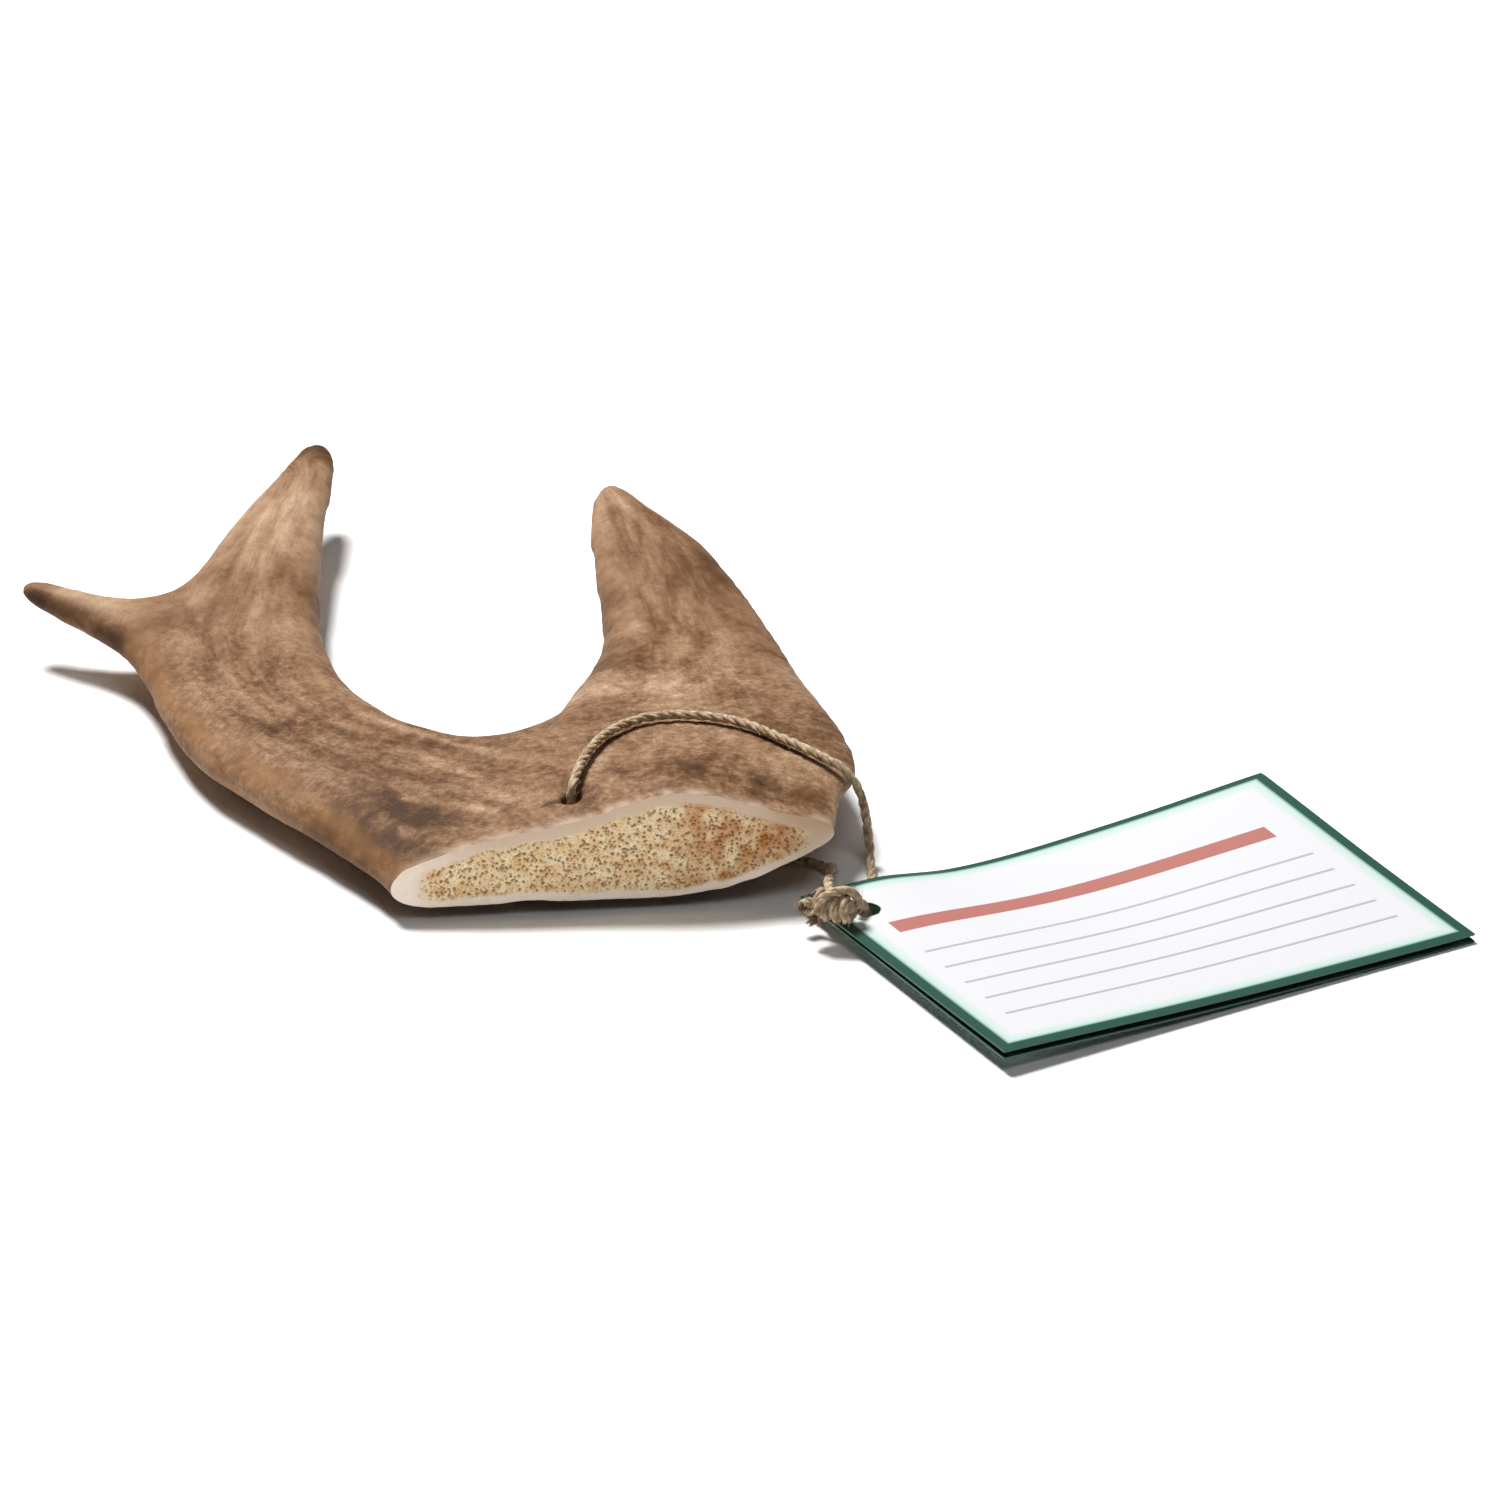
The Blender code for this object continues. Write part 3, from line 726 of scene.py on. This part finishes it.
places = vertex_places(antler) / MM
plan = places[:, :2]
grain = grain_of(places)
on_face = np.zeros(len(places), bool)
for polygon in antler.data.polygons:
    if polygon.material_index == 1:
        on_face[list(polygon.vertices)] = True
tone_and_painted_light = np.zeros(len(places))
polish = eased((places[:, 1] + 25) / 45)
patchy = 1 + (1 - polish) * (1.1 * eased(0.5 + noise_at(places, (2.6, 3.4, 3), 5)) - 0.55)
for x, y, wide, tall, amount in PATCHES:
    tone_and_painted_light += amount * patchy * fading(plan[:, 0] - x, wide) * fading(plan[:, 1] - y, tall)
broken = eased(noise_at(grain, (2.5, 7, 5), 6) + 0.55)
for line in PALE_STREAKS:
    tone_and_painted_light += 1.9 * broken * fading(distance_to_line(plan, line), 1.1)
# A dark mark drawn on the skin just left of the drilled hole.
tone_and_painted_light -= 2.2 * fading(distance_to_line(plan, DARK_MARK_BY_HOLE), 0.5)
on_arm = eased((12 - plan[:, 1]) / 10) * eased((25 - plan[:, 0]) / 10)
worn_line = fading(distance_to_line(plan, OUTER_LEFT) - 1.4, 1.9)
worn = on_arm * worn_line * (0.8 + 0.5 * noise_at(grain, (3, 8, 3), 7))
# Painted shade: the spur's sides that face forward, away from the light behind, are darkened.
tone_and_painted_light -= 2.6 * eased((-46 - plan[:, 0]) / 6) * eased(-2.2 * vertex_ways(antler)[:, 1] - 0.55)
# Painted highlight along the lit right-hand wall near the sawn end.
tone_and_painted_light += 2.0 * fading(distance_to_line(plan, OUTER_RIGHT), 1.5) * eased((-52 - plan[:, 1]) / 5)
from_saw = (np.array(saw_place) - places) @ np.array(saw_out)
bled = fading(from_saw, 1.7) * eased(0.65 + noise_at(grain, (2, 9, 3), 9))
face_s = (places - np.array(saw_place)) @ np.array(saw_along)
face_z = places[:, 2]
flat_face = np.column_stack([face_s, face_z, np.zeros(len(places))])
end_heights = [rim_flat[rim_flat[:, 0].argmin(), 1], rim_flat[rim_flat[:, 0].argmax(), 1]]
middle_line = np.interp(rim_flat[:, 0], [low[0], high[0]], end_heights)
upper = rim_flat[rim_flat[:, 1] >= middle_line]
lower = rim_flat[rim_flat[:, 1] < middle_line]
upper = upper[np.argsort(upper[:, 0])]
lower = lower[np.argsort(lower[:, 0])]
below_top = np.interp(face_s, upper[:, 0], upper[:, 1]) - face_z
above_bottom = face_z - np.interp(face_s, lower[:, 0], lower[:, 1])
up_the_face = np.clip(above_bottom / np.maximum(above_bottom + below_top, 0.01), 0, 1)
dull = eased((face_s - 2) / 16) * up_the_face + 0.45 * eased((face_s - 58) / 10)
wander = 0.45 * noise_at(flat_face, 3.5, 8)
core = eased((below_top - 1.4 + wander) / 1.3) * eased((above_bottom - 0.9 + wander) / 0.9)
core *= eased((face_s - 4.5) / 4) * eased((69.5 - face_s) / 3.5) * on_face
red = eased((face_s - 44) / 8) * eased((69 - face_s) / 4)
red *= eased(0.6 + 1.2 * noise_at(flat_face, 2.4, 12))
for s, z, wide in RED_SPOTS:
    red += 1.1 * fading(face_s - s, wide) * fading(face_z - z, wide)
cells = np.ones(len(places))
for index in np.nonzero(on_face)[0]:
    room = Vector((face_s[index] / PORE_ROOM[0], face_z[index] / PORE_ROOM[1], 0))
    cells[index] = noise.voronoi(room)[0][0]
pit = eased((0.47 - cells) / 0.26) * core * eased((below_top - 1.6) / 2 + 0.5)
in_face = on_face & (distance_to_line(flat_face[:, :2], rim_closed) > 0.05)
places -= np.array(saw_out) * (PORE_DEPTH * pit * in_face)[:, None]
move_vertices(antler, places * MM)
for name, values in (
    ("tone_and_painted_light", tone_and_painted_light), ("worn", worn), ("polish", polish), ("bled", bled), ("core", core), ("pit", pit),
    ("red", red), ("dull", dull),
):
    antler.data.attributes.new(name, "FLOAT", "POINT").data.foreach_set("value", values)
for name, values in (("grain", grain), ("sawn", flat_face)):
    antler.data.attributes.new(name, "FLOAT_VECTOR", "POINT").data.foreach_set("vector", values.ravel())


def attribute_on(tree, name, output="Fac"):
    return add_node(tree, "ShaderNodeAttribute", attribute_name=name).outputs[output]


def tinted(tree, name, strength, colour, tint, blend="MIX"):
    """A colour that is tinted where a value on the vertices is high."""
    share = worked_out(tree, "MULTIPLY", attribute_on(tree, name), strength)
    return mixed(tree, share, colour, tint, blend)


def skin_material():
    material, tree, shader = new_material("antler_skin", 0.7)
    shader.inputs["Specular IOR Level"].default_value = 0.25
    place = add_node(tree, "ShaderNodeTexCoord").outputs["Object"]
    grain = attribute_on(tree, "grain", "Vector")
    patches = noise_on(tree, stretched(tree, grain, (0.16, 0.07, 0.1)), 1, 4, 0.6)
    mottles = noise_on(tree, place, 560, 5, 0.68, 0.3)
    streak = noise_on(tree, stretched(tree, grain, (1.1, 0.1, 0.3)), 1, 5, 0.65)
    tone = worked_out(tree, "MULTIPLY_ADD", patches, 0.9, 0.05)
    contrast = worked_out(tree, "MULTIPLY_ADD", attribute_on(tree, "polish"), -0.5, 0.8)
    spotted = worked_out(tree, "MULTIPLY", worked_out(tree, "SUBTRACT", mottles, 0.5), contrast)
    tone = worked_out(tree, "ADD", tone, spotted)
    streaked = worked_out(tree, "MULTIPLY", worked_out(tree, "SUBTRACT", streak, 0.5), 0.2)
    tone = worked_out(tree, "ADD", tone, streaked)
    # The tone values also hold the painted shade on the spur and the painted highlight on the right-hand wall.
    tone = worked_out(tree, "ADD", tone, worked_out(tree, "MULTIPLY", attribute_on(tree, "tone_and_painted_light"), 0.16))
    colour = ramp_on(tree, tone, [
        (0.15, (0.052, 0.019, 0.004)), (0.35, (0.118, 0.053, 0.018)), (0.5, (0.207, 0.11, 0.055)),
        (0.65, (0.295, 0.175, 0.098)), (0.85, (0.42, 0.288, 0.185)),
    ])
    speckle = noise_on(tree, place, 1500, 4, 0.75)
    speckled = worked_out(tree, "MULTIPLY_ADD", attribute_on(tree, "polish"), -0.6, 0.9)
    colour = mixed(tree, speckled, colour, ramp_on(tree, speckle, [(0.3, 0.55), (0.7, 1.3)]), "MULTIPLY")
    colour = tinted(tree, "worn", 0.55, colour, (0.27, 0.13, 0.048))
    colour = tinted(tree, "bled", 0.8, colour, (0.46, 0.335, 0.25))
    tree.links.new(colour, shader.inputs["Base Color"])
    under = bump_from(tree, shader, streak, 0.2, 0.0003)
    bump_from(tree, shader, speckle, 0.35, 0.00016, under)
    return material


def face_material():
    material, tree, shader = new_material("sawn_bone", 0.8)
    shader.inputs["Specular IOR Level"].default_value = 0.3
    place = add_node(tree, "ShaderNodeTexCoord").outputs["Object"]
    rim_tone = noise_on(tree, place, 260, 4)
    rim_colour = ramp_on(tree, rim_tone, [(0.3, (0.93, 0.76, 0.6)), (0.65, (0.97, 0.87, 0.75))])
    rim_colour = tinted(tree, "dull", 0.75, rim_colour, (0.62, 0.42, 0.27))
    marrow_tone = noise_on(tree, place, 500, 4)
    marrow = ramp_on(tree, marrow_tone, [(0.3, (0.8, 0.5, 0.23)), (0.7, (0.98, 0.84, 0.55))])
    pores = add_node(tree, "ShaderNodeTexVoronoi", feature="F1", distance="EUCLIDEAN")
    pores.inputs["Scale"].default_value = 2.9
    tree.links.new(attribute_on(tree, "sawn", "Vector"), pores.inputs["Vector"])
    pore_wall = ramp_on(tree, pores.outputs["Distance"], [(0.1, (0.36, 0.19, 0.08)), (0.4, (1.0, 1.0, 1.0))])
    marrow = mixed(tree, 0.85, marrow, pore_wall, "MULTIPLY")
    stained = tinted(tree, "red", 0.7, marrow, (0.62, 0.33, 0.17), "MULTIPLY")
    colour = mixed(tree, attribute_on(tree, "core"), rim_colour, stained)
    colour = tinted(tree, "pit", 0.85, colour, (0.27, 0.125, 0.042))
    tree.links.new(colour, shader.inputs["Base Color"])
    bump_from(tree, shader, noise_on(tree, place, 2200, 3), 0.35, 0.0002)
    return material


antler.data.materials.append(skin_material())
antler.data.materials.append(face_material())
select_only(antler)
bpy.ops.object.shade_smooth_by_angle(angle=math.radians(50))
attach(antler, "root")
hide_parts("palm", "broad_tine", "upper_tine", "spur_tine")


# The stand: a plain pale floor under soft light, most of it from above and a little behind on the left, with
# a faint fill from the front.
LIT_SPOT = Vector((0.05, -0.02, 0))
bpy.ops.mesh.primitive_plane_add(size=8, location=(0, 0, 0))
floor = bpy.context.object
floor.name = "floor"
paper, _, paper_shader = new_material("pale_floor", 0.9)
paper_shader.inputs["Base Color"].default_value = (0.94, 0.94, 0.94, 1)
floor.data.materials.append(paper)


def add_soft_light(name, place, size, watts):
    data = bpy.data.lights.new(name, "AREA")
    data.shape = "DISK"
    data.size = size
    data.energy = watts
    lamp = bpy.data.objects.new(name, data)
    bpy.context.scene.collection.objects.link(lamp)
    lamp.location = place
    lamp.rotation_euler = (LIT_SPOT - Vector(place)).to_track_quat("-Z", "Y").to_euler()


add_soft_light("overhead", (-0.32, 0.38, 1.25), 0.45, 32)
add_soft_light("front", (0.25, -0.7, 1.15), 0.6, 2.6)
world = bpy.context.scene.world or bpy.data.worlds.new("world")
bpy.context.scene.world = world
world.use_nodes = True
world.node_tree.nodes["Background"].inputs["Color"].default_value = (1, 1, 1, 1)
world.node_tree.nodes["Background"].inputs["Strength"].default_value = 0.045
bpy.context.scene.view_settings.view_transform = "Standard"
